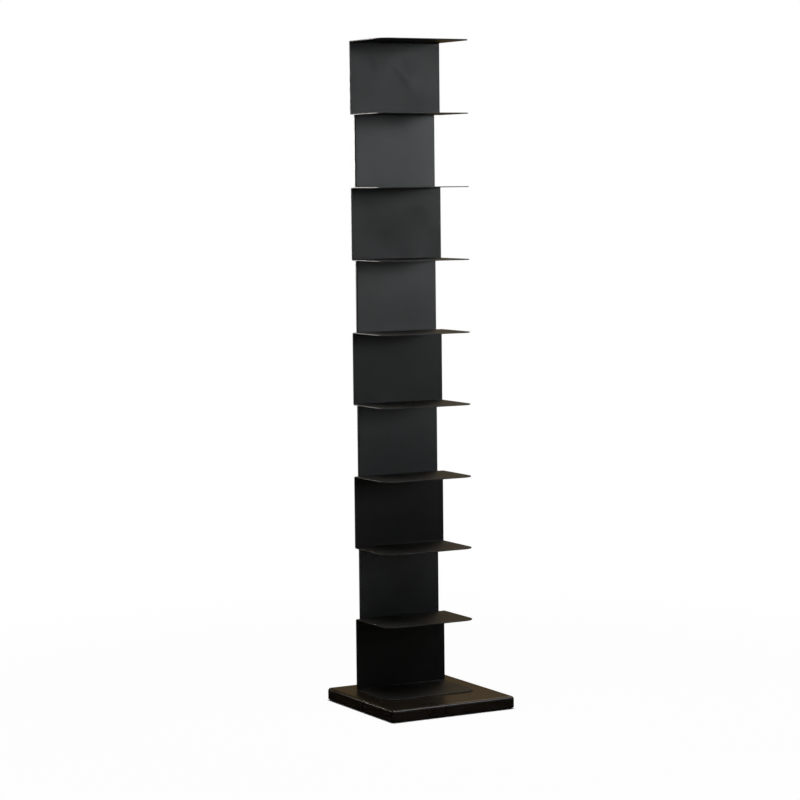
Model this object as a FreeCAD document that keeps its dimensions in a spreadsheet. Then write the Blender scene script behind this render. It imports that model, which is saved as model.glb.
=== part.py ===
"""A tall spine bookshelf: five bent-sheet shelf units up a narrow steel spine on a square base board.

Millimetres. +Z is up, the shelves face -Y, and the origin is on the floor under the middle of the base.
"""
import FreeCAD, Part
import os
import Sketcher

# Driving dimensions, one cell each
DIMENSIONS = {
    # shelf units, each one sheet bent to a C that opens to the front
    "unit_width": 240,
    "unit_height": 171,
    "unit_gap": 168,
    "shelf_depth": 154,
    "shelf_corner_radius": 30,
    "unit_sheet": 2,
    "unit_bend": 2,
    # spine trays, the narrow back panels behind the units
    "tray_width": 214,
    "tray_sheet": 2,
    "tray_lip": 6,
    "tray_bend": 1,
    "tray_top_drop": 6,
    # posts, open channels that stiffen the spine
    "post_width": 120,
    "post_depth": 38,
    "post_sheet": 2,
    "post_bend": 1,
    "post_top_drop": 12,
    # strap across the back of the upper post, holed for a wall fixing
    "strap_height": 30,
    "strap_thickness": 3,
    "strap_corner_radius": 4,
    "strap_drop": 15,
    "wall_tie_hole": 6.5,
    "wall_tie_spacing": 60,
    # splice, a shorter channel nested where the two posts meet
    "splice_length": 250,
    "splice_depth": 30,
    "splice_sheet": 2,
    "splice_bend": 1.5,
    "splice_side_clearance": 0.3,
    "splice_screw_spacing": 190,
    "splice_screw_length": 14,
    "splice_head_diameter": 11,
    "splice_head_height": 3.2,
    "splice_key_width": 4,
    "splice_key_depth": 1.8,
    # weld studs on the units and the flange nuts on them
    "stud_diameter": 6,
    "stud_length": 14,
    "stud_column_spacing": 76,
    "stud_row_spacing": 96,
    "stud_nut_width": 10,
    "stud_nut_height": 6,
    "stud_nut_flange": 14,
    "stud_nut_flange_height": 1.3,
    # base board and what stands between it and the floor
    "base_width": 326,
    "base_depth": 326,
    "base_thickness": 27,
    "base_corner_radius": 8,
    "base_edge_radius": 7,
    "base_under_radius": 1.5,
    "panel_setback": 72,
    "pad_diameter": 30,
    "pad_thickness": 3,
    "pad_inset": 34,
    # foot plate under the lower post and its bolts through the base
    "foot_width": 150,
    "foot_depth": 60,
    "foot_thickness": 5,
    "foot_corner_radius": 6,
    "bolt_diameter": 8,
    "bolt_column_spacing": 70,
    "bolt_row_spacing": 28,
    "bolt_back_inset": 12,
    "bolt_head_width": 13,
    "bolt_head_height": 5.3,
    "bolt_end_past_nut": 2,
    "bolt_counterbore": 20,
    "bolt_counterbore_depth": 9,
    "bolt_washer_diameter": 16,
    "bolt_washer_height": 1.6,
    "bolt_nut_width": 13,
    "bolt_nut_height": 8,
    "bolt_nut_flange": 17.6,
    "bolt_nut_flange_height": 1.6,
    # room round fasteners, and how far a cut runs past what it cuts
    "hole_clearance": 0.6,
    "thread_clearance": 0.2,
    "cut_overrun": 5,
}
UNIT_COUNT = 5
JOINT_UNIT = 2
HEX_SIDES = 6
HEX_CORNER_SHARE = "(1 / cos(30 deg))"

doc = FreeCAD.newDocument("spine_bookshelf")
sheet = doc.addObject("Spreadsheet::Sheet", "sizes")


def fill_sheet():
    """Write every driving dimension to its own cell, with its name as the alias."""
    for row, (name, value) in enumerate(DIMENSIONS.items(), start=1):
        sheet.set(f"A{row}", name)
        sheet.set(f"B{row}", str(value))
        sheet.setAlias(f"B{row}", name)
    doc.recompute()


# Places worked out from the driving dimensions, as expressions on the sheet
BASE_TOP = "(sizes.pad_thickness + sizes.base_thickness)"
UNIT_PITCH = "(sizes.unit_height + sizes.unit_gap)"
PANEL_FRONT = "(sizes.base_depth / 2 - sizes.panel_setback)"
TRAY_FRONT = f"({PANEL_FRONT} + sizes.unit_sheet)"
POST_FRONT = f"({TRAY_FRONT} + sizes.tray_sheet)"
POST_BACK = f"({POST_FRONT} + sizes.post_depth)"
SPLICE_FRONT = f"({POST_FRONT} + sizes.post_sheet)"
FOOT_TOP = f"({BASE_TOP} + sizes.foot_thickness)"
SPINE_SPLIT = f"({BASE_TOP} + {JOINT_UNIT} * {UNIT_PITCH} + sizes.unit_height / 2)"
SHELF_TOP = f"({BASE_TOP} + {UNIT_COUNT - 1} * {UNIT_PITCH} + sizes.unit_height)"
TRAY_END = f"({SHELF_TOP} - sizes.tray_top_drop)"
POST_END = f"({SHELF_TOP} - sizes.post_top_drop)"
STUD_HOLE = "(sizes.stud_diameter + sizes.hole_clearance)"
BOLT_HOLE = "(sizes.bolt_diameter + sizes.hole_clearance)"
BOLT_BACK = f"({POST_FRONT} + sizes.foot_depth - sizes.bolt_back_inset)"
BOLT_FRONT = f"({BOLT_BACK} - sizes.bolt_row_spacing)"
BOLT_SEAT = "(sizes.pad_thickness + sizes.bolt_counterbore_depth)"
SPLICE_WIDTH = "(sizes.post_width - 2 * sizes.post_sheet - 2 * sizes.splice_side_clearance)"
SPLICE_SCREW_Y = f"({SPLICE_FRONT} + sizes.splice_depth / 2)"


def unit_foot(index):
    """Height of a shelf unit's underside."""
    return f"({BASE_TOP} + {index} * {UNIT_PITCH})"


def stud_rows(index):
    """Heights of a unit's lower and upper row of studs."""
    middle = f"{unit_foot(index)} + sizes.unit_height / 2"
    return [f"({middle} {sign} sizes.stud_row_spacing / 2)" for sign in "-+"]


def stud_places():
    """Every stud as (unit, x, z)."""
    places = []
    for index in range(UNIT_COUNT):
        for height in stud_rows(index):
            for sign in "-+":
                places.append((index, f"(0 {sign} sizes.stud_column_spacing / 2)", height))
    return places


def bind(thing, **expressions):
    """Bind an object's properties to expressions on the sheet."""
    for name, expression in expressions.items():
        thing.setExpression(name, expression)


def place(thing, x="0", y="0", z="0", turn=None):
    """Bind an object's place, and turn it first if asked."""
    if turn is not None:
        thing.Placement = FreeCAD.Placement(FreeCAD.Vector(), turn)
    for axis, expression in zip("xyz", (x, y, z)):
        thing.setExpression(f"Placement.Base.{axis}", expression)


ALONG_Y = FreeCAD.Rotation(FreeCAD.Vector(1, 0, 0), -90)
ALONG_X = FreeCAD.Rotation(FreeCAD.Vector(0, 1, 0), 90)
AGAINST_X = FreeCAD.Rotation(FreeCAD.Vector(0, 1, 0), -90)
OUTWARDS = {"-": AGAINST_X, "+": ALONG_X}
INWARDS = {"-": ALONG_X, "+": AGAINST_X}


def new_body(label):
    """An empty body with its own label."""
    body = doc.addObject("PartDesign::Body", label)
    body.Label = label
    return body


def new_sketch(body, name, plane, x="0", y="0", out="0"):
    """A sketch on one of the body's origin planes, moved in that plane and out of it."""
    sketch = body.newObject("Sketcher::SketchObject", f"{body.Label}_{name}")
    support = [item for item in body.Origin.OriginFeatures if item.Role == plane][0]
    sketch.AttachmentSupport = (support, [""])
    sketch.MapMode = "FlatFace"
    for axis, expression in zip("xyz", (x, y, out)):
        sketch.setExpression(f"AttachmentOffset.Base.{axis}", expression)
    return sketch


def constrain(sketch, name, value, *arguments):
    """Add a named size to a sketch and bind it."""
    kind, *rest = arguments
    index = sketch.addConstraint(Sketcher.Constraint(kind, *rest, 1.0))
    sketch.renameConstraint(index, name)
    sketch.setExpression(f"Constraints.{name}", value)


def draw_rectangle(sketch, width, height):
    """A rectangle from the sketch's own corner."""
    unit = [(0, 0), (1, 0), (1, 1), (0, 1)]
    points = [FreeCAD.Vector(x, y, 0) for x, y in unit]
    for start, end in zip(points, points[1:] + points[:1]):
        sketch.addGeometry(Part.LineSegment(start, end), False)
    for line in range(4):
        sketch.addConstraint(Sketcher.Constraint("Coincident", line, 2, (line + 1) % 4, 1))
    for line in (0, 2):
        sketch.addConstraint(Sketcher.Constraint("Horizontal", line))
        sketch.addConstraint(Sketcher.Constraint("Vertical", line + 1))
    sketch.addConstraint(Sketcher.Constraint("Coincident", 0, 1, -1, 1))
    constrain(sketch, "across", width, "DistanceX", 0, 1, 0, 2)
    constrain(sketch, "up", height, "DistanceY", 1, 1, 1, 2)


def draw_circles(sketch, diameter, centres):
    """Circles of one diameter, each at distances from the sketch's own corner."""
    for number, (across, up) in enumerate(centres):
        circle = Part.Circle(FreeCAD.Vector(number + 1, 1, 0), FreeCAD.Vector(0, 0, 1), 1)
        index = sketch.addGeometry(circle, False)
        constrain(sketch, f"wide{number}", diameter, "Diameter", index)
        constrain(sketch, f"across{number}", across, "DistanceX", -1, 1, index, 3)
        constrain(sketch, f"up{number}", up, "DistanceY", -1, 1, index, 3)


def pad(body, sketch, length):
    """Raise a sketch along its normal."""
    feature = body.newObject("PartDesign::Pad", f"{sketch.Label}_pad")
    feature.Profile = sketch
    bind(feature, Length=length)
    doc.recompute()
    return feature


def pocket(body, sketch, length, reverse=False):
    """Cut a sketch against its normal, or along it, and be sure that it cut."""
    before = body.Shape.Volume
    feature = body.newObject("PartDesign::Pocket", f"{sketch.Label}_cut")
    feature.Profile = sketch
    feature.Reversed = reverse
    bind(feature, Length=length)
    doc.recompute()
    if not body.Shape.Volume < before:
        raise RuntimeError(f"{feature.Label} cuts nothing")
    return feature


def size(name):
    """A driving dimension as the sheet holds it."""
    return float(sheet.get(name))


def near(first, second):
    """Whether two places are one, to a small share of the sheet's thickness."""
    return abs(first - second) < size("unit_sheet") / 1000


def edges_along(shape, axis, test):
    """Names of the straight edges along an axis whose middle point passes a test."""
    found = []
    for number, edge in enumerate(shape.Edges, start=1):
        if not isinstance(edge.Curve, Part.Line):
            continue
        way = edge.tangentAt(edge.FirstParameter)
        if abs(abs(getattr(way, axis)) - 1) < 1e-6 and test(edge.CenterOfMass):
            found.append(f"Edge{number}")
    return found


def round_edges(body, name, radius, axis, test):
    """Round the straight edges of a body that pass a test."""
    base = body.Tip
    edges = edges_along(base.Shape, axis, test)
    if not edges:
        raise RuntimeError(f"{body.Label} has no edges for {name}")
    feature = body.newObject("PartDesign::Fillet", f"{body.Label}_{name}")
    feature.Base = (base, edges)
    bind(feature, Radius=radius)
    doc.recompute()
    return feature


def shelf_unit(index):
    """One sheet bent to a C: an upper shelf, a back panel and a lower shelf with round front corners."""
    body = new_body(f"shelf_unit_{index + 1}")
    block = new_sketch(body, "block", "XY_Plane", "-sizes.unit_width / 2", "-sizes.shelf_depth")
    draw_rectangle(block, "sizes.unit_width", "sizes.shelf_depth + sizes.unit_sheet")
    pad(body, block, "sizes.unit_height")
    room = new_sketch(body, "room", "YZ_Plane", "-sizes.shelf_depth - sizes.cut_overrun",
                      "sizes.unit_sheet", "sizes.unit_width / 2 + sizes.cut_overrun")
    draw_rectangle(room, "sizes.shelf_depth + sizes.cut_overrun",
                   "sizes.unit_height - 2 * sizes.unit_sheet")
    pocket(body, room, "sizes.unit_width + 2 * sizes.cut_overrun")
    thick, tall = size("unit_sheet"), size("unit_height")
    round_edges(body, "outer_bends", "sizes.unit_bend + sizes.unit_sheet", "x",
                lambda at: near(at.y, thick) and (near(at.z, 0) or near(at.z, tall)))
    round_edges(body, "inner_bends", "sizes.unit_bend", "x", lambda at: near(at.y, 0))
    round_edges(body, "corners", "sizes.shelf_corner_radius", "z",
                lambda at: near(at.y, -size("shelf_depth")))
    place(body, y=PANEL_FRONT, z=unit_foot(index))
    return body


def channel(label, width, depth, gauge, bend, length):
    """An open channel: a web at the front with a flange bent back along each side."""
    body = new_body(label)
    block = new_sketch(body, "block", "XY_Plane", f"-{width} / 2")
    draw_rectangle(block, width, depth)
    pad(body, block, length)
    room = new_sketch(body, "room", "XY_Plane", f"-{width} / 2 + {gauge}", gauge,
                      f"{length} + sizes.cut_overrun")
    draw_rectangle(room, f"{width} - 2 * {gauge}", f"{depth} + sizes.cut_overrun")
    pocket(body, room, f"{length} + 2 * sizes.cut_overrun")
    round_edges(body, "outer_bends", f"{bend} + {gauge}", "z", lambda at: near(at.y, 0))
    inner = body.Shape.BoundBox.XMax - size(gauge.removeprefix("sizes."))
    web = size(gauge.removeprefix("sizes."))
    round_edges(body, "inner_bends", bend, "z", lambda at: near(at.y, web) and near(abs(at.x), inner))
    return body


def web_holes(body, width, gauge, foot, places):
    """Stud holes through a channel's web, at heights above the channel's foot."""
    holes = new_sketch(body, "stud_holes", "XZ_Plane", f"-{width} / 2", "0", "sizes.cut_overrun")
    centres = [(f"{width} / 2 + {x}", f"{z} - {foot}") for x, z in places]
    draw_circles(holes, STUD_HOLE, centres)
    pocket(body, holes, f"{gauge} + 2 * sizes.cut_overrun")


def side_holes(body, width, centres):
    """Screw holes across both flanges of a channel."""
    holes = new_sketch(body, "screw_holes", "YZ_Plane", "0", "0", f"{width} / 2 + sizes.cut_overrun")
    draw_circles(holes, STUD_HOLE, centres)
    pocket(body, holes, f"{width} + 2 * sizes.cut_overrun")


def lower_studs():
    """Studs that pass through the lower half of the spine."""
    rows = [stud_rows(JOINT_UNIT)[0]]
    return [(x, z) for unit, x, z in stud_places() if unit < JOINT_UNIT or z in rows]


def upper_studs():
    """Studs that pass through the upper half of the spine."""
    rows = [stud_rows(JOINT_UNIT)[1]]
    return [(x, z) for unit, x, z in stud_places() if unit > JOINT_UNIT or z in rows]


def spine_tray(label, foot, end, studs):
    """Half of the narrow back panel: a flat face with a shallow lip down each side."""
    body = channel(label, "sizes.tray_width", "sizes.tray_lip", "sizes.tray_sheet", "sizes.tray_bend",
                   f"({end} - {foot})")
    web_holes(body, "sizes.tray_width", "sizes.tray_sheet", foot, studs)
    place(body, y=TRAY_FRONT, z=foot)
    return body


def post(label, foot, end, studs, screw_height):
    """Half of the post: a deep channel behind the tray, open at the back."""
    body = channel(label, "sizes.post_width", "sizes.post_depth", "sizes.post_sheet", "sizes.post_bend",
                   f"({end} - {foot})")
    web_holes(body, "sizes.post_width", "sizes.post_sheet", foot, studs)
    side_holes(body, "sizes.post_width", [(f"{SPLICE_SCREW_Y} - {POST_FRONT}", f"{screw_height} - {foot}")])
    place(body, y=POST_FRONT, z=foot)
    return body


def wall_tie_strap():
    """A flat strap welded across the back of the upper post, with two holes for a wall fixing."""
    body = new_body("wall_tie_strap")
    outline = new_sketch(body, "outline", "XZ_Plane", "-sizes.post_width / 2")
    draw_rectangle(outline, "sizes.post_width", "sizes.strap_height")
    pad(body, outline, "sizes.strap_thickness")
    round_edges(body, "corners", "sizes.strap_corner_radius", "y", lambda at: True)
    holes = new_sketch(body, "tie_holes", "XZ_Plane", "-sizes.post_width / 2", "0",
                       "sizes.strap_thickness + sizes.cut_overrun")
    columns = [f"(sizes.post_width / 2 {sign} sizes.wall_tie_spacing / 2)" for sign in "-+"]
    draw_circles(holes, "sizes.wall_tie_hole", [(column, "sizes.strap_height / 2") for column in columns])
    pocket(body, holes, "sizes.strap_thickness + 2 * sizes.cut_overrun")
    place(body, y=f"{POST_BACK} + sizes.strap_thickness",
          z=f"{POST_END} - sizes.strap_drop - sizes.strap_height")
    return body


def splice_screw_heights():
    """Heights of the side screws below and above the split."""
    return [f"({SPINE_SPLIT} {sign} sizes.splice_screw_spacing / 2)" for sign in "-+"]


def post_splice():
    """A shorter channel nested in both posts where they meet."""
    foot = f"({SPINE_SPLIT} - sizes.splice_length / 2)"
    body = channel("post_splice", SPLICE_WIDTH, "sizes.splice_depth", "sizes.splice_sheet",
                   "sizes.splice_bend", "sizes.splice_length")
    studs = [(x, z) for unit, x, z in stud_places() if unit == JOINT_UNIT]
    web_holes(body, SPLICE_WIDTH, "sizes.splice_sheet", foot, studs)
    side_holes(body, SPLICE_WIDTH,
               [("sizes.splice_depth / 2", f"{height} - {foot}") for height in splice_screw_heights()])
    place(body, y=SPLICE_FRONT, z=foot)
    return body


def base_board():
    """The square board that everything stands on, with its bolts' counterbores underneath."""
    body = new_body("base_board")
    outline = new_sketch(body, "outline", "XY_Plane", "-sizes.base_width / 2", "-sizes.base_depth / 2")
    draw_rectangle(outline, "sizes.base_width", "sizes.base_depth")
    pad(body, outline, "sizes.base_thickness")
    round_edges(body, "corners", "sizes.base_corner_radius", "z", lambda at: True)
    round_rim(body, "top_edge", "sizes.base_edge_radius", size("base_thickness"))
    round_rim(body, "under_edge", "sizes.base_under_radius", 0)
    centres = [("0", "0"), ("sizes.bolt_column_spacing", "0"), ("0", "sizes.bolt_row_spacing"),
               ("sizes.bolt_column_spacing", "sizes.bolt_row_spacing")]
    for name, diameter, depth in (
            ("bores", BOLT_HOLE, "sizes.base_thickness + sizes.cut_overrun"),
            ("counterbores", "sizes.bolt_counterbore", "sizes.bolt_counterbore_depth")):
        holes = new_sketch(body, name, "XY_Plane", "-sizes.bolt_column_spacing / 2", BOLT_FRONT)
        draw_circles(holes, diameter, centres)
        pocket(body, holes, depth, reverse=True)
    place(body, z="sizes.pad_thickness")
    return body


def round_rim(body, name, radius, height):
    """Round every edge of a body that lies flat at one height."""
    base = body.Tip
    edges = []
    for number, edge in enumerate(base.Shape.Edges, start=1):
        box = edge.BoundBox
        if near(box.ZMin, height) and near(box.ZMax, height):
            edges.append(f"Edge{number}")
    feature = body.newObject("PartDesign::Fillet", f"{body.Label}_{name}")
    feature.Base = (base, edges)
    bind(feature, Radius=radius)
    doc.recompute()
    return feature


def foot_plate():
    """The plate that the lower post stands on, bolted down through the base."""
    body = new_body("foot_plate")
    outline = new_sketch(body, "outline", "XY_Plane", "-sizes.foot_width / 2")
    draw_rectangle(outline, "sizes.foot_width", "sizes.foot_depth")
    pad(body, outline, "sizes.foot_thickness")
    round_edges(body, "corners", "sizes.foot_corner_radius", "z", lambda at: True)
    holes = new_sketch(body, "holes", "XY_Plane", "-sizes.foot_width / 2", "0",
                       "sizes.foot_thickness + sizes.cut_overrun")
    columns = [f"(sizes.foot_width / 2 {sign} sizes.bolt_column_spacing / 2)" for sign in "-+"]
    rows = [f"({row} - {POST_FRONT})" for row in (BOLT_FRONT, BOLT_BACK)]
    draw_circles(holes, BOLT_HOLE, [(column, row) for column in columns for row in rows])
    pocket(body, holes, "sizes.foot_thickness + 2 * sizes.cut_overrun")
    place(body, y=POST_FRONT, z=BASE_TOP)
    return body


def cylinder(name, diameter, height, **where):
    """A round bar standing on its place."""
    thing = doc.addObject("Part::Cylinder", name)
    bind(thing, Radius=f"{diameter} / 2", Height=height)
    place(thing, **where)
    return thing


def hexagon(name, width, height, **where):
    """A hexagonal bar, sized across its flats."""
    thing = doc.addObject("Part::Prism", name)
    thing.Polygon = HEX_SIDES
    bind(thing, Circumradius=f"{width} / 2 * {HEX_CORNER_SHARE}", Height=height)
    place(thing, **where)
    return thing


def join(name, base, tool):
    """Two shapes as one."""
    thing = doc.addObject("Part::Fuse", name)
    thing.Base, thing.Tool = base, tool
    return thing


def cut(name, base, tool):
    """One shape with another taken out of it."""
    thing = doc.addObject("Part::Cut", name)
    thing.Base, thing.Tool = base, tool
    return thing


def group(label, things):
    """Like pieces kept together as separate solids."""
    thing = doc.addObject("Part::Compound", label)
    thing.Label = label
    thing.Links = things
    return thing


def flange_nut(name, thread, width, height, flange, flange_height, turn, **where):
    """A hexagonal nut on a round flange, seated on its place and bored for its thread."""
    bore = f"({thread} + sizes.thread_clearance)"
    body = join(f"{name}_body", hexagon(f"{name}_hex", width, height),
                cylinder(f"{name}_flange", flange, flange_height))
    nut = cut(name, body, cylinder(f"{name}_bore", bore, height))
    place(nut, turn=turn, **where)
    return nut


def stud_nut(name, turn, **where):
    """A flange nut for a weld stud or a splice screw."""
    return flange_nut(name, "sizes.stud_diameter", "sizes.stud_nut_width", "sizes.stud_nut_height",
                      "sizes.stud_nut_flange", "sizes.stud_nut_flange_height", turn, **where)


def unit_studs(index):
    """The studs welded to the back of one unit's panel."""
    studs = []
    for number, (unit, x, z) in enumerate(stud_places()):
        if unit == index:
            studs.append(cylinder(f"stud_{number}", "sizes.stud_diameter", "sizes.stud_length",
                                  x=x, y=TRAY_FRONT, z=z, turn=ALONG_Y))
    return group(f"unit_studs_{index + 1}", studs)


def unit_nuts(index):
    """The nuts that draw one unit's panel against the spine."""
    seat = SPLICE_FRONT
    if index == JOINT_UNIT:
        seat = f"({SPLICE_FRONT} + sizes.splice_sheet)"
    nuts = []
    for number, (unit, x, z) in enumerate(stud_places()):
        if unit == index:
            nuts.append(stud_nut(f"nut_{number}", ALONG_Y, x=x, y=seat, z=z))
    return group(f"unit_nuts_{index + 1}", nuts)


def splice_places():
    """Each side screw as (name, side sign, height)."""
    places = []
    for number, height in enumerate(splice_screw_heights()):
        places.append((f"left_{number}", "-", height))
        places.append((f"right_{number}", "+", height))
    return places


def splice_screws():
    """Round-headed screws through the posts' flanges into the splice."""
    screws = []
    for name, sign, height in splice_places():
        head = cylinder(f"screw_{name}_head", "sizes.splice_head_diameter", "sizes.splice_head_height")
        key = hexagon(f"screw_{name}_key", "sizes.splice_key_width",
                      "sizes.splice_key_depth + sizes.cut_overrun",
                      z="sizes.splice_head_height - sizes.splice_key_depth")
        shank = cylinder(f"screw_{name}_shank", "sizes.stud_diameter", "sizes.splice_screw_length",
                         z="-sizes.splice_screw_length")
        screw = join(f"screw_{name}", cut(f"screw_{name}_keyed", head, key), shank)
        place(screw, x=f"0 {sign} sizes.post_width / 2", y=SPLICE_SCREW_Y, z=height, turn=OUTWARDS[sign])
        screws.append(screw)
    return group("splice_screws", screws)


def splice_nuts():
    """Nuts on the side screws, inside the splice."""
    nuts = []
    for name, sign, height in splice_places():
        seat = f"0 {sign} ({SPLICE_WIDTH} / 2 - sizes.splice_sheet)"
        nuts.append(stud_nut(f"splice_nut_{name}", INWARDS[sign], x=seat, y=SPLICE_SCREW_Y, z=height))
    return group("splice_nuts", nuts)


def bolt_places():
    """Each base bolt as (name, x, y)."""
    columns = [("left", "-sizes.bolt_column_spacing / 2"), ("right", "sizes.bolt_column_spacing / 2")]
    rows = [("front", BOLT_FRONT), ("back", BOLT_BACK)]
    return [(f"{side}_{end}", x, y) for side, x in columns for end, y in rows]


def foot_bolts():
    """Hexagon bolts from under the base up through the foot plate."""
    bolts = []
    grip = f"({FOOT_TOP} - {BOLT_SEAT} + sizes.bolt_washer_height)"
    shank_length = f"{grip} + sizes.bolt_nut_height + sizes.bolt_end_past_nut"
    for name, x, y in bolt_places():
        head = hexagon(f"bolt_{name}_head", "sizes.bolt_head_width", "sizes.bolt_head_height",
                       z="-sizes.bolt_head_height")
        shank = cylinder(f"bolt_{name}_shank", "sizes.bolt_diameter", shank_length)
        bolt = join(f"bolt_{name}", head, shank)
        place(bolt, x=x, y=y, z=f"{BOLT_SEAT} - sizes.bolt_washer_height")
        bolts.append(bolt)
    return group("foot_bolts", bolts)


def foot_washers():
    """Washers between the bolt heads and the base."""
    washers = []
    for name, x, y in bolt_places():
        disc = cylinder(f"washer_{name}_disc", "sizes.bolt_washer_diameter", "sizes.bolt_washer_height")
        bore = cylinder(f"washer_{name}_bore", BOLT_HOLE, "sizes.bolt_washer_height")
        washer = cut(f"washer_{name}", disc, bore)
        place(washer, x=x, y=y, z=f"{BOLT_SEAT} - sizes.bolt_washer_height")
        washers.append(washer)
    return group("foot_washers", washers)


def foot_nuts():
    """Flange nuts on top of the foot plate."""
    nuts = []
    for name, x, y in bolt_places():
        nuts.append(flange_nut(f"foot_nut_{name}", "sizes.bolt_diameter", "sizes.bolt_nut_width",
                               "sizes.bolt_nut_height", "sizes.bolt_nut_flange",
                               "sizes.bolt_nut_flange_height", FreeCAD.Rotation(), x=x, y=y, z=FOOT_TOP))
    return group("foot_nuts", nuts)


def floor_pads():
    """A round pad under each corner of the base."""
    pads = []
    for side, x_sign in (("left", "-"), ("right", "+")):
        for end, y_sign in (("front", "-"), ("back", "+")):
            pad_body = cylinder(f"floor_pad_{end}_{side}", "sizes.pad_diameter", "sizes.pad_thickness",
                                x=f"0 {x_sign} (sizes.base_width / 2 - sizes.pad_inset)",
                                y=f"0 {y_sign} (sizes.base_depth / 2 - sizes.pad_inset)")
            pads.append(pad_body)
    return pads


def build():
    """Make every sub-part."""
    fill_sheet()
    parts = [base_board(), foot_plate(), foot_bolts(), foot_washers(), foot_nuts()]
    parts += floor_pads()
    low_screw, high_screw = splice_screw_heights()
    parts.append(spine_tray("spine_tray_lower", BASE_TOP, SPINE_SPLIT, lower_studs()))
    parts.append(spine_tray("spine_tray_upper", SPINE_SPLIT, TRAY_END, upper_studs()))
    parts.append(post("post_lower", FOOT_TOP, SPINE_SPLIT, lower_studs(), low_screw))
    parts.append(post("post_upper", SPINE_SPLIT, POST_END, upper_studs(), high_screw))
    parts += [wall_tie_strap(), post_splice(), splice_screws(), splice_nuts()]
    for index in range(UNIT_COUNT):
        parts += [shelf_unit(index), unit_studs(index), unit_nuts(index)]
    doc.recompute()
    return parts


def is_sound(shape):
    """Whether a shape is valid and holds a solid."""
    return not shape.isNull() and shape.isValid() and len(shape.Solids) > 0


def check(parts):
    """Stop if any object failed or any sub-part has no sound solid."""
    failed = [item.Label for item in doc.Objects if {"Invalid", "Error"} & set(item.State)]
    empty = [item.Label for item in parts if not is_sound(item.Shape)]
    if failed or empty:
        raise RuntimeError(f"failed: {failed}, without a sound shape: {empty}")


def write(parts):
    """Write each sub-part to its own file."""
    os.makedirs("parts", exist_ok=True)
    for item in parts:
        item.Shape.exportStep(f"parts/{item.Label}.step")
        print(item.Label, len(item.Shape.Solids), "solids", round(item.Shape.Volume), "mm3")


all_parts = build()
check(all_parts)
write(all_parts)
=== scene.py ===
"""Looks of the spine bookshelf: coated steel shelf units up a slim spine on a lacquered base board.

Metres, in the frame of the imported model: +Z up, shelves reaching towards -Y, origin on the floor.
"""
from __future__ import annotations

import logging
import math
from collections.abc import Callable, Iterator
from contextlib import contextmanager
from dataclasses import dataclass, field
from enum import Enum

import bmesh
import bpy
from mathutils import Matrix, Vector


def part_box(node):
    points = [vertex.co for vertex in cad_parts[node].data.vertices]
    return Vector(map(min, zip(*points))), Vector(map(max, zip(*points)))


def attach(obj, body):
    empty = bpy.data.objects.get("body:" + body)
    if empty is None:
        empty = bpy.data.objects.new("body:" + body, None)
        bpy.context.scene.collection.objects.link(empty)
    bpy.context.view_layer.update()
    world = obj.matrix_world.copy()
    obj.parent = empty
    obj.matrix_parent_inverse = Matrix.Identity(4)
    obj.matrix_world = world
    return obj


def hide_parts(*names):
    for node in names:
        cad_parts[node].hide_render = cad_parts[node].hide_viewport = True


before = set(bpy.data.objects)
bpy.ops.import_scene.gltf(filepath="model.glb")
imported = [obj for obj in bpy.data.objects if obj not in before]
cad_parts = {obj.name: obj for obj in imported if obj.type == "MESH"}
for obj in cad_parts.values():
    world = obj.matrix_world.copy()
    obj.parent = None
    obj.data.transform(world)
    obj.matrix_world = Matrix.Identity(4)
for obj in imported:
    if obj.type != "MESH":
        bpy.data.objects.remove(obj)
log = logging.getLogger("spine_bookshelf")

Colour = tuple[float, float, float]
Place = tuple[float, float, float]
Reach = tuple[float, float]
Run = tuple[Vector, Vector]
Test = Callable[[object], bool]
Thing = bpy.types.Object
Material = bpy.types.Material
Socket = bpy.types.NodeSocket

MM = 0.001
BODY = "root"
WHITE: Colour = (1.0, 1.0, 1.0)
SAME_PLACE = 0.01 * MM
DOUBLED = 0.001 * MM
SHARP_EDGE = math.radians(50)
SHARP_SHADING = math.radians(35)
ROUND_PROFILE = 0.5
FINE_SEGMENTS = 2
OWN_SLOT = -1
EDGE_SLOT = 1
DUST_LIES: Reach = (0.6, 0.98)
LEVEL_NORMAL = 0.9
# Several sockets of a Mix node share a name, so its colours go by number.
MIX_AMOUNT, MIX_FIRST, MIX_SECOND, MIX_RESULT = 0, 6, 7, 2
DRILL_REACH = 3


class Axis(Enum):
    """A direction that a round piece points along."""

    UP = "up"
    BACK = "back"
    LEFT = "left"
    RIGHT = "right"

    def turn(self) -> Matrix:
        """The rotation from +Z to this direction.

        Returns:
            The rotation.
        """
        turns = {
            Axis.UP: Matrix.Identity(4),
            Axis.BACK: Matrix.Rotation(math.radians(-90), 4, "X"),
            Axis.LEFT: Matrix.Rotation(math.radians(-90), 4, "Y"),
            Axis.RIGHT: Matrix.Rotation(math.radians(90), 4, "Y"),
        }
        return turns[self]


class Carve(Enum):
    """What a tool does to the piece that it is set in."""

    CUT = "DIFFERENCE"
    FUSE = "UNION"
    TRIM = "INTERSECT"


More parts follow.
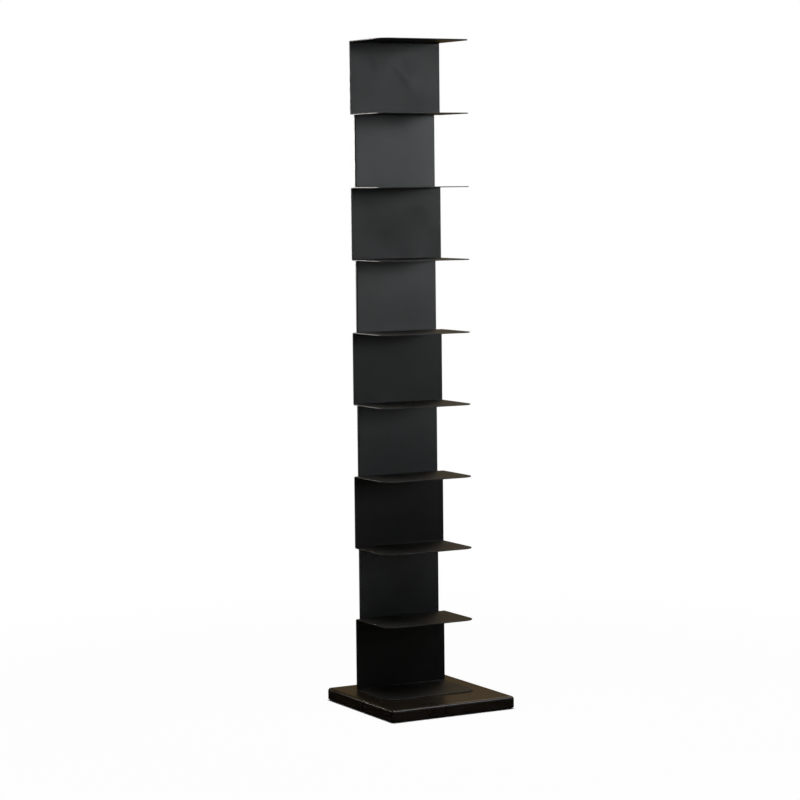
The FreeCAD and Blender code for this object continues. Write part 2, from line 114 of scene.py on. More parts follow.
class Value:
    """A number inside a material that ordinary arithmetic works on."""

    def __init__(self, paint: Paint, socket: Socket) -> None:
        """Wrap an output socket of one of the paint's nodes."""
        self.paint = paint
        self.socket = socket

    def maths(self, operation: str, *others: Value | float) -> Value:
        """One Math node on this value and others."""
        return self.paint.maths(operation, self, *others)

    def __add__(self, other: Value | float) -> Value:
        """Sum."""
        return self.maths("ADD", other)

    __radd__ = __add__

    def __mul__(self, other: Value | float) -> Value:
        """Product."""
        return self.maths("MULTIPLY", other)

    __rmul__ = __mul__

    def __sub__(self, other: Value | float) -> Value:
        """Difference."""
        return self.maths("SUBTRACT", other)

    def __rsub__(self, other: float) -> Value:
        """Difference from a plain number."""
        return self.paint.maths("SUBTRACT", other, self)

    def between(self, low: float, high: float) -> Value:
        """A smooth rise from 0 to 1.

        Args:
            low: where the rise starts.
            high: where it ends.

        Returns:
            The rise.
        """
        settings = {"interpolation_type": "SMOOTHSTEP"}
        sockets = {"Value": self, "From Min": low, "From Max": high}
        return self.paint.value("ShaderNodeMapRange", settings, sockets, "Result")

    def over(self, reach: Reach) -> Value:
        """From the reach's first number to its second as this value goes from 0 to 1."""
        return reach[0] + self * (reach[1] - reach[0])


@dataclass(frozen=True)
class Pattern:
    """A fractal noise: its scale within a finish, its octaves and their weight, its stretch and its rise."""

    times: float = 1.0
    detail: float = 3.0
    rough: float = 0.5
    stretch: Place = (1.0, 1.0, 1.0)
    rise: Reach | None = None


class Paint:
    """One material's nodes."""

    def __init__(self, name: str) -> None:
        """Start an empty material with a surface shader.

        Args:
            name: the material's name.
        """
        self.material = bpy.data.materials.new(name)
        self.material.use_nodes = True
        self.tree = self.material.node_tree
        self.tree.nodes.clear()
        self.output = self.node("ShaderNodeOutputMaterial")
        self.shader = self.node("ShaderNodeBsdfPrincipled")
        self.show(self.shader.outputs["BSDF"])
        self.place = self.node("ShaderNodeTexCoord").outputs["Object"]

    def show(self, shader: Socket) -> None:
        """Make a shader the material's surface."""
        self.feed(self.output.inputs["Surface"], shader)

    def node(self, kind: str, settings: dict | None = None, sockets: dict | None = None) -> bpy.types.Node:
        """Add a node.

        Args:
            kind: the node's type.
            settings: its properties, set before its sockets.
            sockets: values or links, by the socket's name or number.

        Returns:
            The node.
        """
        node = self.tree.nodes.new(kind)
        for name, setting in (settings or {}).items():
            setattr(node, name, setting)
        for name, given in (sockets or {}).items():
            self.feed(node.inputs[name], given)
        return node

    def feed(self, socket: Socket, given: object) -> None:
        """Link a value to a socket, or set the socket.

        Args:
            socket: the input socket.
            given: a value, an output socket or a constant.
        """
        if isinstance(given, Value):
            given = given.socket
        if isinstance(given, Socket):
            self.tree.links.new(given, socket)
        else:
            socket.default_value = given

    def value(self, kind: str, settings: dict | None, sockets: dict | None, output: str | int) -> Value:
        """Add a node and take one of its outputs as a value."""
        return Value(self, self.node(kind, settings, sockets).outputs[output])

    def maths(self, operation: str, *terms: Value | float) -> Value:
        """Add a Math node on its terms."""
        return self.value("ShaderNodeMath", {"operation": operation}, dict(enumerate(terms)), 0)

    def noise(self, per_m: float, pattern: Pattern) -> Value:
        """Fractal noise on the object's own coordinates.

        Args:
            per_m: the finish's features per metre.
            pattern: the noise.

        Returns:
            The noise, about 0.5 on average, or its rise from 0 to 1.
        """
        mapped = self.node("ShaderNodeMapping", None, {"Vector": self.place, "Scale": pattern.stretch})
        sockets = {"Vector": mapped.outputs["Vector"], "Scale": per_m * pattern.times,
                   "Detail": pattern.detail, "Roughness": pattern.rough}
        noise = self.value("ShaderNodeTexNoise", {"noise_dimensions": "3D"}, sockets, 0)
        return noise.between(*pattern.rise) if pattern.rise else noise

    def cells(self, per_m: float) -> Value:
        """Distance to the nearest of scattered points, so many per metre."""
        sockets = {"Vector": self.place, "Scale": per_m}
        return self.value("ShaderNodeTexVoronoi", {"feature": "F1"}, sockets, "Distance")

    def along(self, axis: str) -> Value:
        """One of the object's own coordinates."""
        return self.value("ShaderNodeSeparateXYZ", None, {0: self.place}, axis)

    def facing_up(self) -> Value:
        """How squarely the surface faces up, 0 to 1."""
        normal = self.node("ShaderNodeNewGeometry").outputs["Normal"]
        return self.value("ShaderNodeSeparateXYZ", None, {0: normal}, "Z").between(*DUST_LIES)

    def mix(self, amount: Value, first: object, second: object) -> Socket:
        """Blend two colours.

        Args:
            amount: 0 for the first, 1 for the second.
            first: a colour or a socket.
            second: a colour or a socket.

        Returns:
            The blend.
        """
        settings = {"data_type": "RGBA", "blend_type": "MIX"}
        sockets = {MIX_AMOUNT: amount, MIX_FIRST: rgba(first), MIX_SECOND: rgba(second)}
        return self.node("ShaderNodeMix", settings, sockets).outputs[MIX_RESULT]

    def blend(self, amount: Value, first: Socket, second: Socket) -> Socket:
        """Blend two shaders."""
        return self.node("ShaderNodeMixShader", None, {0: amount, 1: first, 2: second}).outputs["Shader"]

    def glow(self, colour: Colour) -> Socket:
        """Light of one colour, as bright as the colour says."""
        return self.node("ShaderNodeEmission", None, {"Color": rgba(colour)}).outputs["Emission"]

    def surface(self, **sockets: object) -> None:
        """Set or link the surface shader's sockets, by name with _ for a space."""
        for name, given in sockets.items():
            self.feed(self.shader.inputs[name.replace("_", " ")], given)

    def bump(self, height: Value, strength: float, depth: float) -> None:
        """Roughen the surface by a height of 0 to 1 times a depth."""
        sockets = {"Height": height, "Strength": strength, "Distance": depth}
        self.surface(Normal=self.node("ShaderNodeBump", None, sockets).outputs["Normal"])


class Sky(Paint):
    """The world's nodes."""

    def __init__(self, tree: bpy.types.NodeTree) -> None:
        """Start from an empty tree."""
        self.tree = tree
        self.tree.nodes.clear()

    def towards(self, axis: str, low: float, high: float) -> Value:
        """A smooth rise from 0 to 1 with how far a direction points along an axis."""
        way = self.node("ShaderNodeTexCoord").outputs["Generated"]
        return self.value("ShaderNodeSeparateXYZ", None, {0: way}, axis).between(low, high)

    def background(self, colour: Colour) -> Socket:
        """An even surround, as bright as the colour says."""
        return self.node("ShaderNodeBackground", None, {"Color": rgba(colour)}).outputs["Background"]


def rgba(colour: object) -> object:
    """A colour with its alpha, or a socket as it is."""
    return (*colour, 1.0) if isinstance(colour, tuple) else colour


@dataclass(frozen=True)
class PowderCoat:
    """Fine satin powder coat on steel sheet."""

    name: str
    deep: Colour = (0.0066, 0.0064, 0.0058)
    pale: Colour = (0.0102, 0.0100, 0.0094)
    dust: Colour = (0.045, 0.038, 0.030)
    dust_amount: float = 0.22
    dust_dulls: float = 0.10
    smudge_dulls: float = 0.05
    gloss: Reach = (0.40, 0.52)
    specular: float = 0.42
    grain_per_m: float = 1100.0
    cloud_per_m: float = 7.0
    grain_share: float = 0.3
    tone_rise: Reach = (0.30, 0.70)
    relief: Reach = (0.16, 0.25 * MM)
    grain: Pattern = Pattern(1.0, 2.0, 0.6)
    peel: Pattern = Pattern(0.45, 3.0, 0.55)
    cloud: Pattern = Pattern(1.0, 4.0, 0.55)
    smudge: Pattern = Pattern(3.0, 5.0, 0.62, rise=(0.46, 0.70))
    settled: Pattern = Pattern(9.0, 6.0, 0.7, rise=(0.35, 0.75))

    def make(self) -> Material:
        """Build the material: cloudy tone, fine grain, smudges, and a little dust on what faces up.

        Returns:
            The material.
        """
        paint = Paint(self.name)
        cloud = paint.noise(self.cloud_per_m, self.cloud)
        grain = paint.noise(self.grain_per_m, self.grain) * self.grain_share
        smudge = paint.noise(self.cloud_per_m, self.smudge)
        rest = 1.0 - self.grain_share
        tone = (cloud * rest + grain).between(*self.tone_rise)
        settled = paint.facing_up() * paint.noise(self.cloud_per_m, self.settled)
        body = paint.mix(tone, self.deep, self.pale)
        paint.surface(
            Base_Color=paint.mix(settled * self.dust_amount, body, self.dust),
            Roughness=tone.over(self.gloss) + smudge * self.smudge_dulls + settled * self.dust_dulls,
            Specular_IOR_Level=self.specular,
        )
        paint.bump(paint.noise(self.grain_per_m, self.peel) * rest + grain, *self.relief)
        return paint.material


@dataclass(frozen=True)
class WornEdgeWithPaintedHighlight:
    """The coat on a sheet's rounded edge: lighter than the body coat as a painted highlight, rubbed where it
    thins with wear, with a few bright specks.
    """

    name: str
    # Painted highlight: this edge coat is several times lighter than the shelf coat, so every rounded edge
    # reads light.
    coat: Colour = (0.026, 0.027, 0.029)
    rubbed: Colour = (0.070, 0.072, 0.076)
    steel: Colour = (0.30, 0.30, 0.31)
    steel_metallic: float = 0.9
    roughness: float = 0.44
    rub_shines: float = 0.10
    rub_per_m: float = 26.0
    chip_per_m: float = 120.0
    relief: Reach = (0.12, 0.2 * MM)
    rub: Pattern = Pattern(1.0, 5.0, 0.65, rise=(0.45, 0.72))
    chip: Pattern = Pattern(1.0, 3.0, 0.5, rise=(0.74, 0.78))
    grain: Pattern = Pattern(8.0, 3.0, 0.5)

    def make(self) -> Material:
        """Build the material: a light base coat that paints a highlight on the edge, rubbed streaks of wear,
        and chips where fine noise peaks.

        Returns:
            The material.
        """
        paint = Paint(self.name)
        rub = paint.noise(self.rub_per_m, self.rub)
        chip = paint.noise(self.chip_per_m, self.chip)
        coat = paint.mix(rub, self.coat, self.rubbed)
        paint.surface(
            Base_Color=paint.mix(chip, coat, self.steel),
            Metallic=chip * self.steel_metallic,
            Roughness=self.roughness - rub * self.rub_shines,
        )
        paint.bump(paint.noise(self.chip_per_m, self.grain), *self.relief)
        return paint.material


@dataclass(frozen=True)
class Lacquer:
    """Satin black lacquer over a board, with the board's faint grain and hairline marks."""

    name: str
    deep: Colour = (0.0062, 0.0043, 0.0026)
    warm: Colour = (0.0160, 0.0106, 0.0062)
    dust: Colour = (0.055, 0.042, 0.030)
    dust_amount: float = 0.12
    dust_dulls: float = 0.08
    hairs_dull: float = 0.12
    gloss: Reach = (0.22, 0.34)
    specular: float = 0.5
    coat: float = 0.15
    coat_roughness: float = 0.22
    per_m: float = 60.0
    grain_share: float = 0.5
    tone_rise: Reach = (0.32, 0.70)
    grain_height: float = 0.35
    pore_depth: float = 0.4
    hair_depth: float = 0.25
    relief: Reach = (0.14, 0.3 * MM)
    grain: Pattern = Pattern(1.0, 6.0, 0.6, (0.12, 1.0, 1.0))
    pores: Pattern = Pattern(14.0, 2.0, 0.5, (0.05, 1.0, 1.0), (0.56, 0.70))
    hairs: Pattern = Pattern(10.0, 2.0, 0.4, (1.0, 0.03, 1.0), (0.66, 0.72))
    cloud: Pattern = Pattern(0.1, 4.0, 0.55)
    settled: Pattern = Pattern(1.5, 6.0, 0.7, rise=(0.40, 0.80))

    def make(self) -> Material:
        """Build the material: long grain along X under the lacquer, hairlines, and light dust on top.

        Returns:
            The material.
        """
        paint = Paint(self.name)
        grain, pores, hairs, cloud = (
            paint.noise(self.per_m, pattern) for pattern in (self.grain, self.pores, self.hairs, self.cloud))
        tone = (grain * self.grain_share + cloud * (1.0 - self.grain_share)).between(*self.tone_rise)
        settled = paint.facing_up() * paint.noise(self.per_m, self.settled)
        body = paint.mix(tone, self.deep, self.warm)
        paint.surface(
            Base_Color=paint.mix(settled * self.dust_amount, body, self.dust),
            Roughness=cloud.over(self.gloss) + hairs * self.hairs_dull + settled * self.dust_dulls,
            Specular_IOR_Level=self.specular,
            Coat_Weight=self.coat,
            Coat_Roughness=self.coat_roughness,
        )
        height = grain * self.grain_height - pores * self.pore_depth - hairs * self.hair_depth
        paint.bump(height, *self.relief)
        return paint.material


@dataclass(frozen=True)
class PlatedSteel:
    """Bare or plated steel on small hardware."""

    name: str
    bright: Colour = (0.62, 0.63, 0.65)
    dull: Colour = (0.36, 0.35, 0.32)
    metallic: float = 1.0
    gloss: Reach = (0.24, 0.48)
    per_m: float = 180.0
    relief: Reach = (0.10, 0.1 * MM)
    patch: Pattern = Pattern(1.0, 5.0, 0.6, rise=(0.35, 0.70))
    marks: Pattern = Pattern(12.0, 2.0, 0.5, (1.0, 0.1, 1.0))

    def make(self) -> Material:
        """Build the material: patchy plating with fine tool marks.

        Returns:
            The material.
        """
        paint = Paint(self.name)
        patch = paint.noise(self.per_m, self.patch)
        paint.surface(
            Base_Color=paint.mix(patch, self.bright, self.dull),
            Metallic=self.metallic,
            Roughness=patch.over(self.gloss),
        )
        paint.bump(paint.noise(self.per_m, self.marks), *self.relief)
        return paint.material


@dataclass(frozen=True)
class PadRubber:
    """Matte non-slip rubber with a pebbled face."""

    name: str
    deep: Colour = (0.020, 0.020, 0.021)
    worn: Colour = (0.055, 0.053, 0.050)
    gloss: Reach = (0.78, 0.93)
    pebble_per_m: float = 900.0
    scuff_per_m: float = 140.0
    relief: Reach = (0.35, 0.4 * MM)
    scuff: Pattern = Pattern(1.0, 5.0, 0.65, rise=(0.48, 0.70))

    def make(self) -> Material:
        """Build the material: pebbles and scuffs.

        Returns:
            The material.
        """
        paint = Paint(self.name)
        scuff = paint.noise(self.scuff_per_m, self.scuff)
        paint.surface(Base_Color=paint.mix(scuff, self.deep, self.worn), Roughness=scuff.over(self.gloss))
        paint.bump(1.0 - paint.cells(self.pebble_per_m), *self.relief)
        return paint.material


@dataclass(frozen=True)
class Finishes:
    """Every finish of the object, made once."""

    shelf: Material
    spine: Material
    post: Material
    edge: Material
    board: Material
    zinc: Material
    stud: Material
    screw: Material
    rubber: Material

    @classmethod
    def make(cls) -> Finishes:
        """Build all the materials.

        Returns:
            The finishes.
        """
        return cls(
            shelf=PowderCoat("shelf_powder_coat").make(),
            spine=PowderCoat("spine_powder_coat", deep=(0.0260, 0.0282, 0.0288),
                             pale=(0.0350, 0.0382, 0.0390), gloss=(0.36, 0.47), specular=0.50,
                             cloud_per_m=5.0).make(),
            post=PowderCoat("post_powder_coat", gloss=(0.50, 0.62), dust_amount=0.35).make(),
            edge=WornEdgeWithPaintedHighlight("worn_sheet_edge_painted_highlight").make(),
            board=Lacquer("base_lacquer").make(),
            zinc=PlatedSteel("zinc_plate").make(),
            stud=PlatedSteel("stud_steel", bright=(0.50, 0.40, 0.30), dull=(0.32, 0.28, 0.24)).make(),
            screw=PlatedSteel("black_oxide", bright=(0.035, 0.035, 0.038), dull=(0.018, 0.018, 0.019),
                              metallic=0.6, gloss=(0.32, 0.50)).make(),
            rubber=PadRubber("pad_rubber").make(),
        )


def start_clean() -> None:
    """Deselect everything, so that the next operator acts only on what it makes."""
    bpy.ops.object.select_all(action="DESELECT")


def pick(*things: Thing) -> None:
    """Select these objects and no others.

    Args:
        things: the objects, of which the first becomes the active one.
    """
    start_clean()
    for thing in things:
        thing.select_set(True)
    bpy.context.view_layer.objects.active = things[0]


@contextmanager
def editing(thing: Thing) -> Iterator[None]:
    """Edit mode on one object, with nothing selected at first.

    Args:
        thing: the object.

    Yields:
        Nothing.
    """
    pick(thing)
    bpy.ops.object.mode_set(mode="EDIT")
    bpy.ops.mesh.select_all(action="DESELECT")
    yield
    bpy.ops.object.mode_set(mode="OBJECT")


def choose(thing: Thing, kind: str, test: Test) -> None:
    """Select the verts, edges or faces that pass a test, and nothing else.

    Args:
        thing: the object in edit mode.
        kind: VERT, EDGE or FACE.
        test: the test on each of the mesh's elements.
    """
    bpy.ops.mesh.select_mode(type=kind)
    bpy.ops.mesh.select_all(action="DESELECT")
    mesh = bmesh.from_edit_mesh(thing.data)
    elements = {"VERT": mesh.verts, "EDGE": mesh.edges, "FACE": mesh.faces}[kind]
    for element in elements:
        element.select_set(bool(test(element)))
    mesh.select_flush_mode()
    bmesh.update_edit_mesh(thing.data)


def near(first: float, second: float) -> bool:
    """Whether two places are the same to a hundredth of a millimetre."""
    return abs(first - second) < SAME_PLACE


def edge_lies(edge: bmesh.types.BMEdge, **places: float) -> bool:
    """Whether both ends of an edge have the given coordinates."""
    return all(near(getattr(vert.co, axis), place) for vert in edge.verts for axis, place in places.items())


def lies(**places: float) -> Test:
    """A test for the edges that have the given coordinates."""
    return lambda edge: edge_lies(edge, **places)


def spans(axis: str) -> Test:
    """A test for the edges whose ends lie apart along an axis."""
    return lambda edge: not near(*(getattr(vert.co, axis) for vert in edge.verts))


def flat_at(height: float) -> Test:
    """A test for the level faces at one height."""
    return lambda face: near(face.calc_center_median().z, height) and abs(face.normal.z) > LEVEL_NORMAL


def settle(thing: Thing) -> None:
    """Move an object's place, turn and scale into its mesh."""
    pick(thing)
    bpy.ops.object.transform_apply(location=True, rotation=True, scale=True)


def put(thing: Thing, place: Matrix) -> Thing:
    """Move an object and settle it there.

    Args:
        thing: the object.
        place: its place, turn and scale.

    Returns:
        The object.
    """
    thing.matrix_world = place
    settle(thing)
    return thing


def modify(thing: Thing, kind: str, **settings: object) -> None:
    """Add a modifier and apply it at once.

    Args:
        thing: the object.
        kind: the modifier's type.
        settings: its properties.
    """
    pick(thing)
    modifier = thing.modifiers.new(kind.lower(), kind)
    for name, setting in settings.items():
        setattr(modifier, name, setting)
    bpy.ops.object.modifier_apply(modifier=modifier.name)


def carve(thing: Thing, tool: Thing, how: Carve) -> None:
    """Cut, fuse or trim an object with a tool, which is used up."""
    modify(thing, "BOOLEAN", object=tool, operation=how.value, solver="EXACT")
    discard(tool)


def soften(thing: Thing, width: float, segments: int, material: int = OWN_SLOT) -> None:
    """Round an object's sharp edges and smooth its shading.

    Args:
        thing: the object.
        width: the rounding's width.
        segments: faces across it.
        material: the slot that the rounded edges take, or OWN_SLOT for their neighbours'.
    """
    modify(thing, "BEVEL", width=width, segments=segments, limit_method="ANGLE", angle_limit=SHARP_EDGE,
           material=material, harden_normals=False, use_clamp_overlap=True)
    smooth(thing)


def smooth(thing: Thing) -> None:
    """Smooth shading, sharp only past a clear angle.

    Args:
        thing: the object.
    """
    pick(thing)
    bpy.ops.object.shade_smooth_by_angle(angle=SHARP_SHADING)
    modify(thing, "WEIGHTED_NORMAL", keep_sharp=True)


def face_outwards(thing: Thing) -> None:
    """Merge doubled points and turn every face of a closed mesh outwards.

    Args:
        thing: the object.
    """
    with editing(thing):
        bpy.ops.mesh.select_all(action="SELECT")
        bpy.ops.mesh.remove_doubles(threshold=DOUBLED)
        bpy.ops.mesh.normals_make_consistent(inside=False)


def copy_to(thing: Thing, place: Matrix) -> Thing:
    """Copy an object with its mesh.

    Args:
        thing: the object.
        place: where the copy goes.

    Returns:
        The copy.
    """
    twin = thing.copy()
    twin.data = thing.data.copy()
    bpy.context.collection.objects.link(twin)
    return put(twin, place)


def join(things: list[Thing], name: str) -> Thing:
    """Join meshes into the first of them.

    Args:
        things: the objects.
        name: the joined object's name.

    Returns:
        The joined object.
    """
    pick(*things)
    bpy.ops.object.join()
    things[0].name = name
    return things[0]


def discard(*things: Thing) -> None:
    """Remove models that were only copied or cut with."""
    for thing in things:
        bpy.data.objects.remove(thing)


def dress(thing: Thing, *materials: Material) -> None:
    """Give an object its materials.

    Args:
        thing: the object.
        materials: the materials, in slot order.
    """
    thing.data.materials.clear()
    for material in materials:
        thing.data.materials.append(material)


def deliver(thing: Thing, slot: str, *nodes: str) -> None:
    """Let a finished piece ride on the shelf and stand for its solids.

    Args:
        thing: the piece.
        slot: the record's material slot; not used.
        nodes: the solids that it replaces, if any.
    """
    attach(thing, BODY)
    if nodes:
        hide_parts(*nodes)
    faces = len(thing.data.polygons)
    log.info("%s: %d faces, stands for %s", thing.name, faces, ", ".join(nodes) or "itself")


def made(name: str) -> Thing:
    """Name the primitive that was just added."""
    bpy.context.object.name = name
    return bpy.context.object


def new_sheet(name: str, centre: Vector, width: float, length: float, turn: Matrix) -> Thing:
    """A flat rectangle to bend a piece of sheet from.

    Args:
        name: the object's name.
        centre: its middle.
        width: its size along its own X.
        length: its size along its own Y.
        turn: its turn from lying flat.

    Returns:
        The rectangle.
    """
    start_clean()
    bpy.ops.mesh.primitive_plane_add(size=1.0)
    return put(made(name), Matrix.Translation(centre) @ turn @ Matrix.Diagonal((width, length, 1.0, 1.0)))


def new_block(name: str, low: Vector, high: Vector) -> Thing:
    """A block to shape a piece from.

    Args:
        name: the object's name.
        low: its lowest corner.
        high: its highest corner.

    Returns:
        The block.
    """
    start_clean()
    bpy.ops.mesh.primitive_cube_add(size=1.0)
    return put(made(name), Matrix.Translation((low + high) / 2) @ Matrix.Diagonal((*(high - low), 1.0)))


def new_round(name: str, sides: int, radius: float, height: float, foot: float = 0.0) -> Thing:
    """An upright bar on the Z axis, to shape a round piece or a tool from.

    Args:
        name: the object's name.
        sides: the faces around it.
        radius: its radius over the corners.
        height: its height.
        foot: where it stands.

    Returns:
        The bar.
    """
    start_clean()
    bpy.ops.mesh.primitive_cylinder_add(vertices=sides, radius=radius, depth=height)
    return put(made(name), Matrix.Translation((0.0, 0.0, foot + height / 2)))


def drill(thing: Thing, width: float, height: float, sides: int = 32) -> None:
    """Bore a piece of that height, which stands on the origin, right through along Z."""
    carve(thing, new_round("drill", sides, width / 2, height * DRILL_REACH, -height), Carve.CUT)


def pull_edges(thing: Thing, way: Place, test: Test) -> None:
    """Extrude the edges that pass a test."""
    choose(thing, "EDGE", test)
    bpy.ops.mesh.extrude_edges_move(TRANSFORM_OT_translate={"value": way})


def round_edges(thing: Thing, radius: float, segments: int, test: Test) -> None:
    """Bevel the edges that pass a test to an arc."""
    choose(thing, "EDGE", test)
    bpy.ops.mesh.bevel(offset=radius, offset_type="OFFSET", segments=segments, profile=ROUND_PROFILE,
                       affect="EDGES")


@dataclass
class BentSheet:
    """A piece bent from one steel sheet along one face, and then given its gauge."""

    node: str
    slot: str
    gauge: float = 2.0 * MM
    bend: float = 1.0 * MM
    bend_segments: int = 6
    edge: float = 0.4 * MM
    edge_segments: int = FINE_SEGMENTS
    low: Vector = field(init=False)
    high: Vector = field(init=False)

    def __post_init__(self) -> None:
        """Take the piece's box from the frame."""
        self.low, self.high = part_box(self.node)

    def build(self) -> Thing:
        """Bend the sheet, before it has its gauge."""
        raise NotImplementedError

    def face(self, sheet: Thing, axis: str, sign: int) -> None:
        """Turn every face of the open sheet to the side that the gauge lies behind.

        Args:
            sheet: the sheet in edit mode.
            axis: the axis along which its first face comes lowest.
            sign: the way along that axis that this face has to point.
        """
        bpy.ops.mesh.select_all(action="SELECT")
        bpy.ops.mesh.normals_make_consistent(inside=False)
        mesh = bmesh.from_edit_mesh(sheet.data)
        first = min(mesh.faces, key=lambda face: getattr(face.calc_center_median(), axis))
        if getattr(first.normal, axis) * sign < 0:
            bpy.ops.mesh.flip_normals()

    def finish(self, coat: Material, worn: Material) -> None:
        """Give the sheet its gauge, round its edges, coat it and hand it over.

        Args:
            coat: the coat of its faces.
            worn: the coat of its edges, worn and lighter as a painted highlight.
        """
        sheet = self.build()
        modify(sheet, "SOLIDIFY", thickness=self.gauge, offset=-1.0, use_even_offset=True,
               use_quality_normals=True)
        dress(sheet, coat, worn)
        # The rounded edges take the edge coat: wear plus a painted highlight.
        soften(sheet, self.edge, self.edge_segments, EDGE_SLOT)
        deliver(sheet, self.slot, self.node)


@dataclass
class ShelfUnit(BentSheet):
    """One steel sheet bent into a lower shelf, a back panel and an upper shelf."""

    slot: str = "shelf_coat"
    bend: float = 2.0 * MM
    bend_segments: int = 8
    edge: float = 0.45 * MM
    edge_segments: int = 3
    corner: float = 30.0 * MM
    corner_segments: int = 20

    @property
    def panel(self) -> float:
        """Where the back panel's front lies."""
        return self.high.y - self.gauge

    def build(self) -> Thing:
        """Bend the sheet along its inner face and round its front corners.

        Returns:
            The unit's open sheet.
        """
        floor, roof = self.low.z + self.gauge, self.high.z - self.gauge
        panel = self.panel
        depth = panel - self.low.y
        centre = Vector((0.0, (self.low.y + panel) / 2, floor))
        unit = new_sheet(f"{self.node}_sheet", centre, self.high.x - self.low.x, depth, Matrix.Identity(4))
        with editing(unit):
            pull_edges(unit, (0.0, 0.0, roof - floor), lies(y=panel))
            pull_edges(unit, (0.0, -depth, 0.0), lies(y=panel, z=roof))
            round_edges(unit, self.bend, self.bend_segments,
                        lambda edge: edge_lies(edge, y=panel) and not spans("z")(edge))
            choose(unit, "VERT", lambda vert: near(vert.co.y, self.low.y))
            bpy.ops.mesh.bevel(offset=self.corner, segments=self.corner_segments, profile=ROUND_PROFILE,
                               affect="VERTICES")
            self.face(unit, "z", 1)
        return unit


@dataclass
class Channel(BentSheet):
    """A sheet with a flange bent back along each side: a spine tray, a post or the splice."""

    def build(self) -> Thing:
        """Bend the sheet along its outer face.

        Returns:
            The channel's open sheet.
        """
        sides = (self.low.x, self.high.x)
        front = self.low.y
        centre = Vector((0.0, front, (self.low.z + self.high.z) / 2))
        upright = Matrix.Rotation(math.radians(90), 4, "X")
        size = self.high - self.low
        channel = new_sheet(f"{self.node}_sheet", centre, size.x, size.z, upright)
        with editing(channel):
            for side in sides:
                pull_edges(channel, (0.0, size.y, 0.0), lies(x=side, y=front))
            round_edges(channel, self.bend + self.gauge, self.bend_segments,
                        lambda edge: any(edge_lies(edge, x=side, y=front) for side in sides))
            self.face(channel, "y", -1)
        return channel


@dataclass
class BaseBoard:
    """The lacquered board under everything, with counterbores for the bolts underneath."""

    node: str = "base_board"
    corner: float = 8.0 * MM
    corner_segments: int = 12
    top_edge: float = 7.0 * MM
    top_segments: int = 8
    under_edge: float = 1.5 * MM
    under_segments: int = 4
    counterbore: float = 20.0 * MM
    counterbore_depth: float = 9.0 * MM
    counterbore_sides: int = 48
    overrun: float = 2.0 * MM

    def build(self) -> Thing:
        """Round a block's corners and rims, then cut the counterbores.

        Returns:
            The board's mesh.
        """
        low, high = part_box(self.node)
        board = new_block("base_board_lacquered", low, high)
        with editing(board):
            round_edges(board, self.corner, self.corner_segments, spans("z"))
            round_edges(board, self.top_edge, self.top_segments, lies(z=high.z))
            round_edges(board, self.under_edge, self.under_segments, lies(z=low.z))
        for place in bolt_places(low.z):
            tool = new_round("counterbore", self.counterbore_sides, self.counterbore / 2,
                             self.counterbore_depth + self.overrun, -self.overrun)
            carve(board, put(tool, Matrix.Translation(place)), Carve.CUT)
        return board

    def finish(self, finishes: Finishes) -> None:
        """Lacquer the board and hand it over.

        Args:
            finishes: the object's finishes.
        """
        board = self.build()
        dress(board, finishes.board)
        smooth(board)
        deliver(board, "base_lacquer", self.node)


def group_places(node: str, radius: float) -> list[tuple[Vector, Axis]]:
    """Where the four like pieces stand at the corners of a node's box, pointing back.

    Args:
        node: the group's node.
        radius: each piece's radius.

    Returns:
        The four places.
    """
    low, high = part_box(node)
    columns = (low.x + radius, high.x - radius)
    rows = (low.z + radius, high.z - radius)
    return [(Vector((x, low.y, z)), Axis.BACK) for x in columns for z in rows]


def bolt_places(height: float) -> list[Vector]:
    """Where the base bolts' centres pass a height.

    Args:
        height: the height.

    Returns:
        The four places.
    """
    low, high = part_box("foot_washers")
    radius = FootWasher().diameter / 2
    columns = (low.x + radius, high.x - radius)
    rows = (low.y + radius, high.y - radius)
    return [Vector((x, y, height)) for x in columns for y in rows]


@dataclass(frozen=True)
class Hexagon:
    """A hexagon bar, on which the corners of the top can be turned off in a cone."""

    width: float
    height: float
    cone_spread: float = 1.6
    land: float = 0.96
    cone_sides: int = 48
    sides: int = 6

    def plain(self, name: str, foot: float = 0.0) -> Thing:
        """The bar with its corners whole."""
        radius = self.width / 2 / math.cos(math.pi / self.sides)
        return new_round(name, self.sides, radius, self.height, foot)

    def turned(self, name: str) -> Thing:
        """The bar with its top turned.

        Args:
            name: the object's name.

        Returns:
            The bar, standing on the origin.
        """
        bar = self.plain(name)
        inner = self.width / 2
        start_clean()
        bpy.ops.mesh.primitive_cone_add(
            vertices=self.cone_sides, radius1=inner + self.width * self.cone_spread,
            radius2=inner * self.land, depth=self.width,
            location=(0.0, 0.0, self.height - self.width / 2))
        cone = made("turning_cone")
        settle(cone)
        carve(bar, cone, Carve.TRIM)
        return bar


@dataclass(frozen=True)
class FlangeNut:
    """A hexagon nut on a round flange, chamfered and bored."""

    width: float
    height: float
    flange: float
    flange_height: float
    bore: float
    flange_sides: int = 36
    skirt_share: float = 0.8
    skirt_rise: float = 0.55
    edge: float = 0.15 * MM

    def model(self) -> Thing:
        """Shape one nut, standing on the origin along +Z.

        Returns:
            The nut's mesh.
        """
        nut = Hexagon(self.width, self.height).turned("nut_model")
        skirt = new_round("nut_skirt", self.flange_sides, self.flange / 2, self.flange_height)
        with editing(skirt):
            choose(skirt, "FACE", flat_at(self.flange_height))
            bpy.ops.mesh.inset(thickness=(self.flange - self.width) / 2 * self.skirt_share)
            bpy.ops.transform.translate(value=(0.0, 0.0, self.flange_height * self.skirt_rise))
        carve(nut, skirt, Carve.FUSE)
        drill(nut, self.bore, self.height)
        face_outwards(nut)
        soften(nut, self.edge, FINE_SEGMENTS)
        return nut


